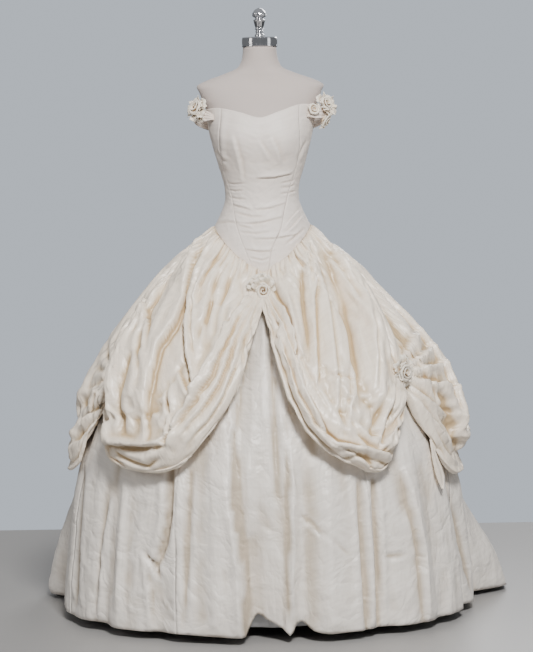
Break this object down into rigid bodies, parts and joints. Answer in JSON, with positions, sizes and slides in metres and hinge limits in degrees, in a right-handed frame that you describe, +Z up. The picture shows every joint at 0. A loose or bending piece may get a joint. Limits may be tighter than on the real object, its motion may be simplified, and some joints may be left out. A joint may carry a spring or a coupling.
{
  "type": "wedding dress on a limbless dress form with a stand",
  "caption": "Floor-length strapless wedding dress: pointed basque bodice, off-shoulder rose bands, picked-up overskirt and short train, worn by a limbless dress form on a stand.",
  "frame": {"origin": "middle of the stand's base, on the floor", "axes": "+Z up along the pole, +X to the dress's left hand side as worn, which is the right as seen from the front, and the front faces -Y"},
  "size_m": [1.3569, 1.3842, 1.7201],
  "materials": {
    "form jersey": "matte jersey",
    "chrome": "polished",
    "steel": "satin",
    "painted iron": "satin",
    "bodice silk": "matte silk",
    "skirt silk": "soft sheen",
    "petticoat cotton": "matte"
  },
  "bodies": {
    "root": {"form_torso": "form jersey", "form_cap": "chrome", "form_finial": "chrome", "stand_flange": "steel", "stand_pole": "chrome", "stand_base": "painted iron", "bodice_back_left": "bodice silk", "bodice_side_back_left": "bodice silk", "bodice_side_front_left": "bodice silk", "bodice_front": "bodice silk", "bodice_side_front_right": "bodice silk", "bodice_side_back_right": "bodice silk", "bodice_back_right": "bodice silk", "bodice_placket": "bodice silk", "back_button_1": "bodice silk", "back_button_2": "bodice silk", "back_button_3": "bodice silk", "back_button_4": "bodice silk", "back_button_5": "bodice silk", "back_button_6": "bodice silk", "back_button_7": "bodice silk", "gore_back_left": "skirt silk", "gore_side_back_left": "skirt silk", "gore_side_front_left": "skirt silk", "gore_front": "skirt silk", "gore_side_front_right": "skirt silk", "gore_side_back_right": "skirt silk", "gore_back_right": "skirt silk", "petticoat_back_left": "petticoat cotton", "petticoat_side_left": "petticoat cotton", "petticoat_front_left": "petticoat cotton", "petticoat_front_right": "petticoat cotton", "petticoat_side_right": "petticoat cotton", "petticoat_back_right": "petticoat cotton", "swag_back_left": "skirt silk", "swag_side_left": "skirt silk", "swag_front_left": "skirt silk", "swag_front_right": "skirt silk", "swag_side_right": "skirt silk", "swag_back_right": "skirt silk", "sleeve_left": "skirt silk", "sleeve_right": "skirt silk", "tie_right": "skirt silk", "sleeve_rose_left_main": "skirt silk", "sleeve_rose_left_bud": "skirt silk", "sleeve_rose_right_main": "skirt silk", "sleeve_rose_right_small": "skirt silk", "sleeve_rose_right_side": "skirt silk", "rosette_front": "skirt silk", "rosette_left": "skirt silk", "rosette_right": "skirt silk"}
  },
  "joints": []
}
